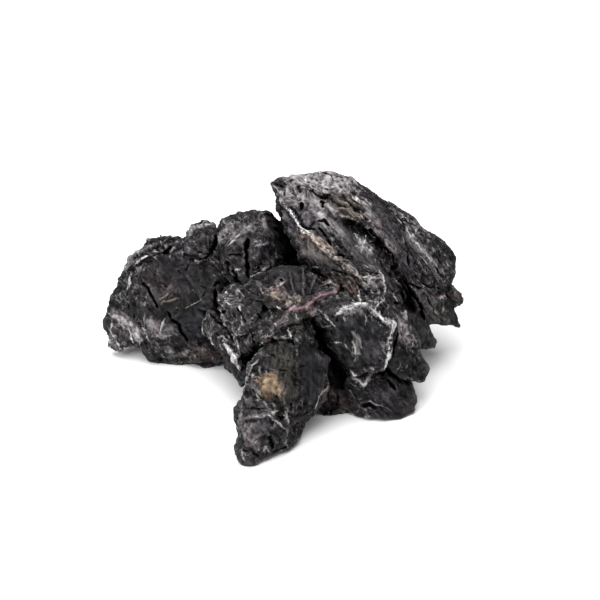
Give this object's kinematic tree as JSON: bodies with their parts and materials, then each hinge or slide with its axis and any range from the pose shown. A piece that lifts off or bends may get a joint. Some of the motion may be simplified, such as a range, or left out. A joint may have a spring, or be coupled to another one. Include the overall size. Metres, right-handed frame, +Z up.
{
  "type": "aquascaping rock",
  "caption": "Craggy dark limestone rock for an aquarium layout: tilted bedded slabs over a rounded pitted shoulder, with a pointed foot, deep clefts and pale veins.",
  "frame": {"origin": "on the ground, at the middle of the stone's box", "axes": "+X along the stone's length, from the rounded shoulder towards the tilted slabs; +Y from the pointed foot towards the back; +Z up"},
  "size_m": [0.2642, 0.2172, 0.1317],
  "materials": {
    "stone": "dark grey limestone, rough and pitted, with smoother broken faces and pale calcite veins"
  },
  "bodies": {
    "root": {"rock": "stone"}
  },
  "joints": []
}
